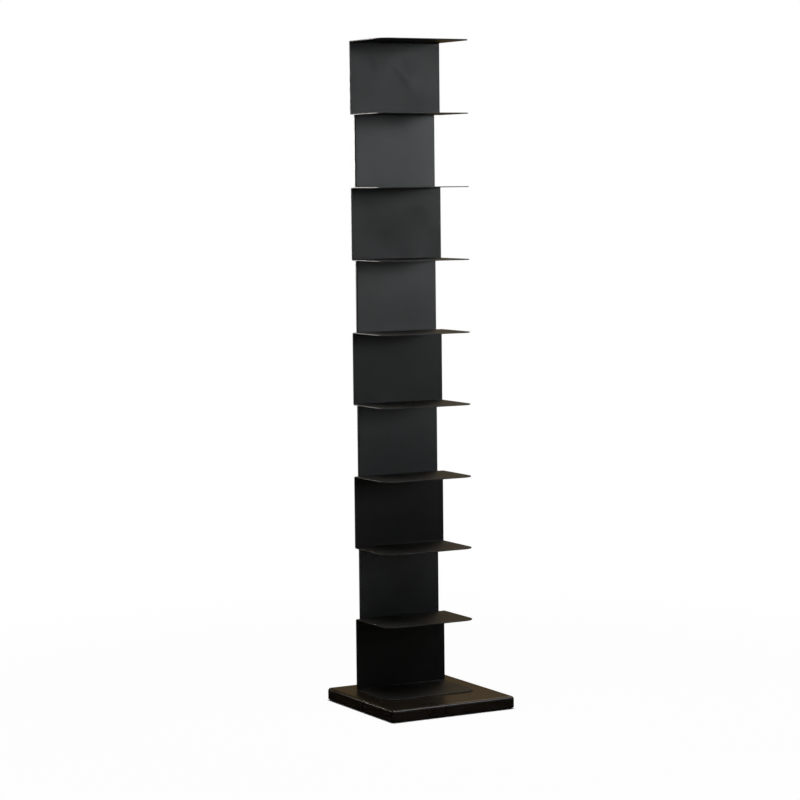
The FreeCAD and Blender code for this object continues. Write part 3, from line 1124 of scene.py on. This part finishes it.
@dataclass(frozen=True)
class Thread:
    """A rod with a V-shaped ridge wound up it and a chamfered tip."""

    diameter: float
    pitch: float
    depth: float
    tip: float
    sides: int = 24
    sink: float = 0.06 * MM
    ridge_share: float = 0.86
    steps: int = 20

    @property
    def core(self) -> float:
        """The rod's radius between the ridges."""
        return self.diameter / 2 - self.depth

    def rod(self, name: str, foot: float, top: float, tip: float, lead: float) -> Thing:
        """Shape an upright rod on the Z axis.

        Args:
            name: the object's name.
            foot: its lower end.
            top: its upper end.
            tip: the end that is chamfered.
            lead: how far above the foot the ridge starts.

        Returns:
            The rod's mesh.
        """
        rod = new_round(name, self.sides, self.core, top - foot, foot)
        with editing(rod):
            round_edges(rod, self.tip, FINE_SEGMENTS, lies(z=tip))
        first, last = foot + lead, top - self.pitch
        carve(rod, self.ridge(first, int((last - first) / self.pitch)), Carve.FUSE)
        face_outwards(rod)
        smooth(rod)
        return rod

    def ridge(self, first: float, turns: int) -> Thing:
        """A V profile carried up by a screw, with its two ends closed.

        Args:
            first: the height where it starts.
            turns: how often it goes round.

        Returns:
            The ridge's mesh.
        """
        half = self.pitch * self.ridge_share / 2
        root = self.core - self.sink
        rise = self.diameter / 2 - root
        third = math.pi / 3
        outwards = Vector((rise / (1.0 + math.cos(third)), 0.0, 0.0))
        upwards = Vector((0.0, 0.0, half / math.sin(third)))
        middle = Vector((root + rise / 3, 0.0, first + half))
        shape = Matrix((upwards, outwards, Vector((0.0, 1.0, 0.0)))).transposed().to_4x4()
        start_clean()
        bpy.ops.mesh.primitive_circle_add(vertices=3, radius=1.0)
        ridge = put(made("thread_ridge"), Matrix.Translation(middle) @ shape)
        modify(ridge, "SCREW", axis="Z", angle=math.tau, steps=self.steps, render_steps=self.steps,
               screw_offset=self.pitch, iterations=turns)
        with editing(ridge):
            bpy.ops.mesh.select_all(action="SELECT")
            bpy.ops.mesh.fill_holes(sides=0)
        face_outwards(ridge)
        return ridge


SMALL_THREAD = Thread(diameter=6.0 * MM, pitch=1.0 * MM, depth=0.45 * MM, tip=0.5 * MM)
LARGE_THREAD = Thread(diameter=8.0 * MM, pitch=1.25 * MM, depth=0.6 * MM, tip=0.8 * MM, sides=32)


@dataclass(frozen=True)
class ThreadedStud:
    """A threaded stud with a chamfered tip, welded to a panel at its foot."""

    length: float = 14.0 * MM
    thread: Thread = SMALL_THREAD

    def model(self) -> Thing:
        """Shape one stud, standing on the origin along +Z."""
        return self.thread.rod("stud_model", 0.0, self.length, self.length, self.thread.pitch / 2)


@dataclass(frozen=True)
class ButtonScrew:
    """A round-headed screw with a hexagon socket."""

    head: float = 11.0 * MM
    head_height: float = 3.2 * MM
    head_sides: int = 40
    dome_share: float = 0.72
    dome_segments: int = 6
    socket: float = 4.0 * MM
    socket_depth: float = 1.8 * MM
    length: float = 14.0 * MM
    thread: Thread = SMALL_THREAD

    def model(self) -> Thing:
        """Shape one screw with its head on the origin, along +Z.

        Returns:
            The screw's mesh.
        """
        rim = self.head_height
        screw = new_round("screw_model", self.head_sides, self.head / 2, rim)
        with editing(screw):
            round_edges(screw, rim * self.dome_share, self.dome_segments, lies(z=rim))
        carve(screw, Hexagon(self.socket, rim).plain("screw_key", rim - self.socket_depth), Carve.CUT)
        smooth(screw)
        shank = self.thread.rod("screw_shank", -self.length, 0.0, -self.length, self.thread.pitch)
        return join([screw, shank], "screw_model")


@dataclass(frozen=True)
class HexBolt:
    """A hexagon bolt, head down, through the base and the foot plate."""

    width: float = 13.0 * MM
    head_height: float = 5.3 * MM
    edge: float = 0.15 * MM
    thread: Thread = LARGE_THREAD

    def model(self, length: float) -> Thing:
        """Shape one bolt with its head's underside on the origin and its shank along +Z.

        Args:
            length: the shank's length.

        Returns:
            The bolt's mesh.
        """
        head = Hexagon(self.width, self.head_height).turned("bolt_model")
        put(head, Matrix.Rotation(math.pi, 4, "X"))
        face_outwards(head)
        soften(head, self.edge, FINE_SEGMENTS)
        shank = self.thread.rod("bolt_shank", 0.0, length, length, self.thread.pitch)
        return join([head, shank], "bolt_model")


@dataclass(frozen=True)
class FootWasher:
    """A flat washer under a bolt head."""

    diameter: float = 16.0 * MM
    height: float = 1.6 * MM
    bore: float = 8.6 * MM
    sides: int = 40
    edge: float = 0.2 * MM

    def model(self) -> Thing:
        """Shape one washer, standing on the origin.

        Returns:
            The washer's mesh.
        """
        washer = new_round("washer_model", self.sides, self.diameter / 2, self.height)
        drill(washer, self.bore, self.height)
        soften(washer, self.edge, FINE_SEGMENTS)
        return washer


@dataclass(frozen=True)
class Hardware:
    """All the fasteners, each kind modelled once and copied to its places."""

    finishes: Finishes
    stud_nut: FlangeNut = FlangeNut(width=10 * MM, height=6 * MM, flange=14 * MM, flange_height=1.3 * MM,
                                    bore=6.2 * MM)
    foot_nut: FlangeNut = FlangeNut(width=13 * MM, height=8 * MM, flange=17.6 * MM, flange_height=1.6 * MM,
                                    bore=8.2 * MM)
    stud: ThreadedStud = ThreadedStud()
    screw: ButtonScrew = ButtonScrew()
    bolt: HexBolt = HexBolt()
    washer: FootWasher = FootWasher()

    def lay_out(self, model: Thing, node: str, slot: str, material: Material,
                places: list[tuple[Vector, Axis]]) -> None:
        """Copy a model to each place as one piece.

        Args:
            model: the model, standing on the origin along +Z.
            node: the group's node.
            slot: the record's material slot.
            material: the finish.
            places: where each copy stands and which way it points.
        """
        copies = [copy_to(model, Matrix.Translation(place) @ axis.turn()) for place, axis in places]
        group = join(copies, f"{node}_set")
        dress(group, material)
        deliver(group, slot, node)

    def lay_out_zinc(self, model: Thing, node: str, places: list[tuple[Vector, Axis]]) -> None:
        """Copy a zinc-plated model to each place as one piece."""
        self.lay_out(model, node, "zinc_hardware", self.finishes.zinc, places)

    def fit_units(self, count: int) -> None:
        """Studs and nuts behind every unit, and the splice's fasteners.

        Args:
            count: how many units there are.
        """
        stud, nut = self.stud.model(), self.stud_nut.model()
        for number in range(1, count + 1):
            studs, nuts = f"unit_studs_{number}", f"unit_nuts_{number}"
            self.lay_out(stud, studs, "stud_steel", self.finishes.stud,
                         group_places(studs, self.stud.thread.diameter / 2))
            self.lay_out_zinc(nut, nuts, group_places(nuts, self.stud_nut.flange / 2))
        self.fit_splice(nut)
        discard(stud, nut)

    def fit_splice(self, nut: Thing) -> None:
        """Side screws and their nuts at the splice.

        Args:
            nut: the nut's model.
        """
        screw = self.screw.model()
        low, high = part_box("splice_screws")
        middle = (low.y + high.y) / 2
        rows = (low.z + self.screw.head / 2, high.z - self.screw.head / 2)
        outer = high.x - self.screw.head_height
        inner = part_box("splice_nuts")[1].x
        outside = ((-outer, Axis.LEFT), (outer, Axis.RIGHT))
        inside = ((-inner, Axis.RIGHT), (inner, Axis.LEFT))
        screws, nuts = ([(Vector((x, middle, z)), axis) for x, axis in ends for z in rows]
                        for ends in (outside, inside))
        self.lay_out(screw, "splice_screws", "black_screw", self.finishes.screw, screws)
        self.lay_out_zinc(nut, "splice_nuts", nuts)
        discard(screw)

    def fit_foot(self) -> None:
        """Bolts, washers and nuts that hold the foot plate to the base."""
        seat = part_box("foot_washers")[0].z
        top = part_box("foot_bolts")[1].z
        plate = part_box("foot_nuts")[0].z
        models = ((self.bolt.model(top - seat), "foot_bolts", seat),
                  (self.washer.model(), "foot_washers", seat),
                  (self.foot_nut.model(), "foot_nuts", plate))
        for model, node, height in models:
            self.lay_out_zinc(model, node, [(place, Axis.UP) for place in bolt_places(height)])
            discard(model)


@dataclass
class WeldBead:
    """Beads of overlapping ripples along straight joints."""

    name: str
    runs: list[Run]
    radius: float
    step: float
    squash: Place = (0.75, 0.85, 0.75)
    unevenness: float = 0.12
    wander: float = 2.4
    grain: float = 0.35 * MM
    sides: int = 12
    rings: int = 8

    def build(self) -> Thing:
        """Set flattened balls along each run and melt them into one skin.

        Returns:
            The beads' mesh.
        """
        start_clean()
        bpy.ops.mesh.primitive_uv_sphere_add(segments=self.sides, ring_count=self.rings, radius=self.radius)
        ripple = made("weld_ripple")
        with editing(ripple):
            bpy.ops.mesh.select_all(action="SELECT")
            bpy.ops.transform.resize(value=self.squash)
        ripples = [copy_to(ripple, place) for run in self.runs for place in self.places(*run)]
        discard(ripple)
        bead = join(ripples, self.name)
        modify(bead, "REMESH", mode="VOXEL", voxel_size=self.grain, use_smooth_shade=True)
        return bead

    def places(self, first: Vector, last: Vector) -> list[Matrix]:
        """Where each ripple of a run sits, a little larger or smaller than the one before.

        Args:
            first: the run's start.
            last: the run's end.

        Returns:
            The ripples' places and sizes.
        """
        count = int((last - first).length / self.step)
        sizes = [1.0 + self.unevenness * math.sin(self.wander * number) for number in range(count + 1)]
        spots = [first.lerp(last, number / count) for number in range(count + 1)]
        return [Matrix.Translation(spot) @ Matrix.Scale(size, 4) for spot, size in zip(spots, sizes)]

    def finish(self, finishes: Finishes) -> None:
        """Coat the beads and hand them over.

        Args:
            finishes: the object's finishes.
        """
        bead = self.build()
        dress(bead, finishes.post)
        deliver(bead, "post_coat")


@dataclass
class WeldedPlate:
    """A coated plate with rounded corners and two runs of weld."""

    node: str
    bead: str
    thin_axis: str
    corner: float
    corner_segments: int
    edge: float
    weld_margin: float
    weld_radius: float
    weld_step: float

    def build(self) -> Thing:
        """Round the corners of a block.

        Returns:
            The plate's mesh.
        """
        plate = new_block(f"{self.node}_cut", *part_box(self.node))
        with editing(plate):
            round_edges(plate, self.corner, self.corner_segments, spans(self.thin_axis))
        return plate

    def runs(self) -> list[Run]:
        """Where the welds start and end."""
        raise NotImplementedError

    def finish(self, finishes: Finishes) -> None:
        """Coat the plate and its welds and hand them over.

        Args:
            finishes: the object's finishes.
        """
        plate = self.build()
        dress(plate, finishes.post, finishes.edge)
        # The rounded edges take the edge coat: wear plus a painted highlight.
        soften(plate, self.edge, FINE_SEGMENTS, EDGE_SLOT)
        deliver(plate, "post_coat", self.node)
        WeldBead(self.bead, self.runs(), self.weld_radius, self.weld_step).finish(finishes)


@dataclass
class FootPlate(WeldedPlate):
    """The plate that the post is welded to, along the post's flanges."""

    node: str = "foot_plate"
    bead: str = "foot_weld_bead"
    thin_axis: str = "z"
    corner: float = 6.0 * MM
    corner_segments: int = 8
    edge: float = 0.6 * MM
    weld_margin: float = 5.0 * MM
    weld_radius: float = 2.2 * MM
    weld_step: float = 2.4 * MM

    def runs(self) -> list[Run]:
        """Along the foot of each flange of the post.

        Returns:
            The two runs.
        """
        low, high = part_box("post_lower")
        first, last = low.y + self.weld_margin, high.y - self.weld_margin
        return [(Vector((side, first, low.z)), Vector((side, last, low.z))) for side in (low.x, high.x)]


@dataclass
class TieStrap(WeldedPlate):
    """The flat strap across the back of the upper post, with two holes for a wall fixing."""

    node: str = "wall_tie_strap"
    bead: str = "strap_weld_bead"
    thin_axis: str = "y"
    corner: float = 4.0 * MM
    corner_segments: int = 6
    edge: float = 0.4 * MM
    weld_margin: float = 3.5 * MM
    weld_radius: float = 1.5 * MM
    weld_step: float = 1.7 * MM
    hole: float = 6.5 * MM
    hole_sides: int = 40
    hole_spacing: float = 60.0 * MM

    def build(self) -> Thing:
        """Round the corners of a bar and drill it.

        Returns:
            The strap's mesh.
        """
        strap = super().build()
        low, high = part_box(self.node)
        thick = high.y - low.y
        for x in (-self.hole_spacing / 2, self.hole_spacing / 2):
            tool = new_round("strap_drill", self.hole_sides, self.hole / 2, thick * DRILL_REACH)
            spot = Vector((x, low.y - thick, (low.z + high.z) / 2))
            carve(strap, put(tool, Matrix.Translation(spot) @ Axis.BACK.turn()), Carve.CUT)
        return strap

    def runs(self) -> list[Run]:
        """Up each end of the strap.

        Returns:
            The two runs.
        """
        low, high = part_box(self.node)
        bottom, top = low.z + self.weld_margin, high.z - self.weld_margin
        return [(Vector((side, low.y, bottom)), Vector((side, low.y, top))) for side in (low.x, high.x)]


@dataclass
class FloorPad:
    """A round non-slip pad under one corner of the base."""

    corner: str
    sides: int = 48
    rim: float = 3.0 * MM
    dish: float = 0.4 * MM
    edge: float = 0.5 * MM
    edge_segments: int = 3

    def finish(self, finishes: Finishes) -> None:
        """Shape the pad with a rounded rim and a dished face, and hand it over.

        Args:
            finishes: the object's finishes.
        """
        node = f"floor_pad_{self.corner}"
        low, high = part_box(node)
        pad = new_round(f"{node}_rubber", self.sides, (high.x - low.x) / 2, high.z - low.z)
        with editing(pad):
            choose(pad, "FACE", flat_at(0.0))
            bpy.ops.mesh.inset(thickness=self.rim)
            bpy.ops.transform.translate(value=(0.0, 0.0, self.dish))
        put(pad, Matrix.Translation(((low.x + high.x) / 2, (low.y + high.y) / 2, low.z)))
        dress(pad, finishes.rubber)
        soften(pad, self.edge, self.edge_segments)
        deliver(pad, "pad_rubber", node)


@dataclass
class Bookshelf:
    """The whole object, built from the floor up."""

    finishes: Finishes
    unit_count: int = 5
    splice_bend: float = 1.5 * MM

    def build(self) -> None:
        """Make every piece."""
        finishes = self.finishes
        BaseBoard().finish(finishes)
        for corner in ("front_left", "front_right", "back_left", "back_right"):
            FloorPad(corner).finish(finishes)
        FootPlate().finish(finishes)
        for node in ("spine_tray_lower", "spine_tray_upper"):
            Channel(node, "spine_coat").finish(finishes.spine, finishes.edge)
        for node in ("post_lower", "post_upper"):
            Channel(node, "post_coat").finish(finishes.post, finishes.edge)
        TieStrap().finish(finishes)
        Channel("post_splice", "post_coat", bend=self.splice_bend).finish(finishes.post, finishes.edge)
        for number in range(1, self.unit_count + 1):
            ShelfUnit(f"shelf_unit_{number}").finish(finishes.shelf, finishes.edge)
        hardware = Hardware(finishes)
        hardware.fit_units(self.unit_count)
        hardware.fit_foot()


@dataclass
class PhotoCamera:
    """A long lens from the left of the shelf's front, a little above its middle."""

    focal_px: float = 2626.7
    image_px: float = 800.0
    sensor_mm: float = 36.0
    distance: float = 6.200
    left_deg: float = 28.90
    height: float = 1.231
    down_deg: float = 4.760
    roll_deg: float = 0.588
    sideways: float = 0.0037

    def place(self) -> None:
        """Make the camera and set it as the scene's."""
        left, down, roll = (math.radians(angle) for angle in (self.left_deg, self.down_deg, self.roll_deg))
        level_right = Vector((math.cos(left), -math.sin(left), 0.0))
        level_ahead = Vector((math.sin(left), math.cos(left), 0.0))
        up = Vector((0.0, 0.0, 1.0))
        ahead = level_ahead * math.cos(down) - up * math.sin(down)
        over = level_ahead * math.sin(down) + up * math.cos(down)
        right = level_right * math.cos(roll) - over * math.sin(roll)
        top = level_right * math.sin(roll) + over * math.cos(roll)
        panel = ShelfUnit("shelf_unit_1").panel
        spot = Vector((0.0, panel, 0.0)) - level_ahead * self.distance + level_right * self.sideways
        spot.z = self.height
        lens = bpy.data.cameras.new("photo_camera")
        lens.sensor_width = self.sensor_mm
        lens.lens = self.focal_px / self.image_px * self.sensor_mm
        camera = bpy.data.objects.new("photo_camera", lens)
        camera.matrix_world = Matrix((right, top, -ahead)).transposed().to_4x4()
        camera.location = spot
        bpy.context.collection.objects.link(camera)
        bpy.context.scene.camera = camera


@dataclass(frozen=True)
class Softbox:
    """One soft studio lamp."""

    name: str
    spot: Place
    aim: Place
    size: tuple[float, float]
    watts: float
    colour: Colour
    spread_deg: float

    def hang(self) -> None:
        """Make the lamp and turn it to what it lights."""
        lamp = bpy.data.lights.new(self.name, "AREA")
        lamp.shape = "RECTANGLE"
        lamp.size, lamp.size_y = self.size
        lamp.energy = self.watts
        lamp.color = self.colour
        lamp.spread = math.radians(self.spread_deg)
        thing = bpy.data.objects.new(self.name, lamp)
        thing.location = self.spot
        thing.rotation_euler = (Vector(self.aim) - Vector(self.spot)).to_track_quat("-Z", "Y").to_euler()
        bpy.context.collection.objects.link(thing)


@dataclass(frozen=True)
class Studio:
    """A pale floor, a white surround and soft light."""

    floor_size: float = 40.0
    floor_colour: Colour = (0.88, 0.88, 0.88)
    floor_roughness: float = 0.9
    floor_specular: float = 0.1
    white_share: float = 0.97
    shadow_reach: Reach = (0.6, 2.0)
    contact_fade: Reach = (-1.0 * MM, 4.0 * MM)
    far_floor: Reach = (0.2, 1.2)
    floor_mirrored: Colour = (0.010, 0.009, 0.008)
    far_floor_mirrored: Colour = (0.230, 0.165, 0.085)
    front_mirrored: Colour = (0.10, 0.10, 0.102)
    left_mirrored: Colour = (0.024, 0.017, 0.010)
    back_mirrored: Colour = (0.150, 0.103, 0.051)
    left_to_right: Reach = (-0.5, 0.2)
    front_to_back: Reach = (-0.6, 0.2)
    surround: Colour = (0.050, 0.050, 0.049)
    lamps: tuple[Softbox, ...] = (
        Softbox("front_softbox", spot=(3.0, -3.5, 2.0), aim=(0.0, 0.1, 1.62), size=(1.3, 1.1),
                watts=2.22, colour=(0.92, 0.98, 1.0), spread_deg=32.0),
        Softbox("middle_softbox", spot=(3.0, -3.5, 1.2), aim=(0.0, 0.1, 0.95), size=(0.9, 0.7),
                watts=0.18, colour=(0.95, 0.98, 1.0), spread_deg=15.0),
        Softbox("edge_softbox", spot=(1.42, -1.51, 2.3), aim=(0.0, -0.16, 0.03), size=(0.9, 0.9),
                watts=0.36, colour=(0.88, 0.93, 1.0), spread_deg=24.0),
        Softbox("left_softbox", spot=(-3.2, -1.6, 2.4), aim=(0.0, 0.0, 0.7), size=(1.2, 1.2),
                watts=0.8, colour=(1.0, 0.97, 0.93), spread_deg=90.0),
        Softbox("top_softbox", spot=(-0.2, -0.5, 3.6), aim=(0.0, 0.0, 0.0), size=(2.4, 2.4),
                watts=40.0, colour=(1.0, 0.98, 0.95), spread_deg=120.0),
        Softbox("back_softbox", spot=(2.6, 2.4, 3.2), aim=(0.0, 0.1, 0.8), size=(2.0, 1.6),
                watts=5.0, colour=(1.0, 0.86, 0.66), spread_deg=100.0),
        Softbox("rear_softbox", spot=(-1.8, 3.6, 1.6), aim=(0.0, 0.1, 1.08), size=(0.5, 0.5),
                watts=3.4, colour=(1.0, 0.97, 0.93), spread_deg=26.0),
    )

    def build(self) -> None:
        """Lay the floor, light the surround and hang the lamps."""
        self.lay_floor()
        self.light_surround()
        for lamp in self.lamps:
            lamp.hang()

    def seen(self, paint: Paint) -> tuple[Value, Value]:
        """Tell the camera's view and reflections from other light.

        Args:
            paint: the floor's or the world's nodes.

        Returns:
            Whether a ray comes from the camera, and whether it is a reflection or passes through glass.
        """
        path = paint.node("ShaderNodeLightPath").outputs
        camera, glossy, through = (
            Value(paint, path[kind]) for kind in ("Is Camera Ray", "Is Glossy Ray", "Is Transmission Ray"))
        return camera, glossy.maths("MAXIMUM", through)

    def lay_floor(self) -> None:
        """A wide floor that reads white, is dark under the base, shades faintly near it and mirrors dim."""
        start_clean()
        bpy.ops.mesh.primitive_plane_add(size=self.floor_size)
        floor = made("studio_floor")
        paint = Paint("studio_floor")
        camera, mirrored = self.seen(paint)
        paint.surface(Base_Color=rgba(self.floor_colour), Roughness=self.floor_roughness,
                      Specular_IOR_Level=self.floor_specular)
        across, back = paint.along("X"), paint.along("Y")
        far = (across * across + back * back).between(*(reach ** 2 for reach in self.shadow_reach))
        white = far.over((self.white_share, 1.0)) * self.clear_of_base(across, back)
        reflected = paint.blend(back.between(*self.far_floor), paint.glow(self.floor_mirrored),
                                paint.glow(self.far_floor_mirrored))
        shown = paint.blend(mirrored, paint.shader.outputs["BSDF"], reflected)
        paint.show(paint.blend(camera * white, shown, paint.glow(WHITE)))
        dress(floor, paint.material)

    def clear_of_base(self, across: Value, back: Value) -> Value:
        """How far a spot of the floor is out from under the base.

        Args:
            across: the spot's X.
            back: the spot's Y.

        Returns:
            0 in the base's contact shadow, 1 clear of it.
        """
        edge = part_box("base_board")[1]
        corner = BaseBoard().corner
        beside = (across.maths("ABSOLUTE") - (edge.x - corner)).maths("MAXIMUM", 0.0)
        before = (back.maths("ABSOLUTE") - (edge.y - corner)).maths("MAXIMUM", 0.0)
        out = (beside * beside + before * before).maths("SQRT")
        return out.between(*(corner + fade for fade in self.contact_fade))

    def light_surround(self) -> None:
        """A world that is white to the camera and dimmer in reflections and as light."""
        world = bpy.data.worlds.new("studio_surround")
        bpy.context.scene.world = world
        world.use_nodes = True
        sky = Sky(world.node_tree)
        camera, mirrored = self.seen(sky)
        behind = sky.blend(sky.towards("X", *self.left_to_right), sky.background(self.left_mirrored),
                           sky.background(self.back_mirrored))
        room = sky.blend(sky.towards("Y", *self.front_to_back), sky.background(self.front_mirrored), behind)
        shown = sky.blend(mirrored, sky.background(self.surround), room)
        shown = sky.blend(camera, shown, sky.background(WHITE))
        sky.node("ShaderNodeOutputWorld", None, {"Surface": shown})


def main() -> None:
    """Build the object and its studio, and place the camera."""
    logging.basicConfig(level=logging.INFO, format="%(name)s: %(message)s")
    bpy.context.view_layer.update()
    bpy.context.scene.view_settings.view_transform = "Standard"
    Bookshelf(Finishes.make()).build()
    Studio().build()
    PhotoCamera().place()


if __name__ == "__main__":
    main()
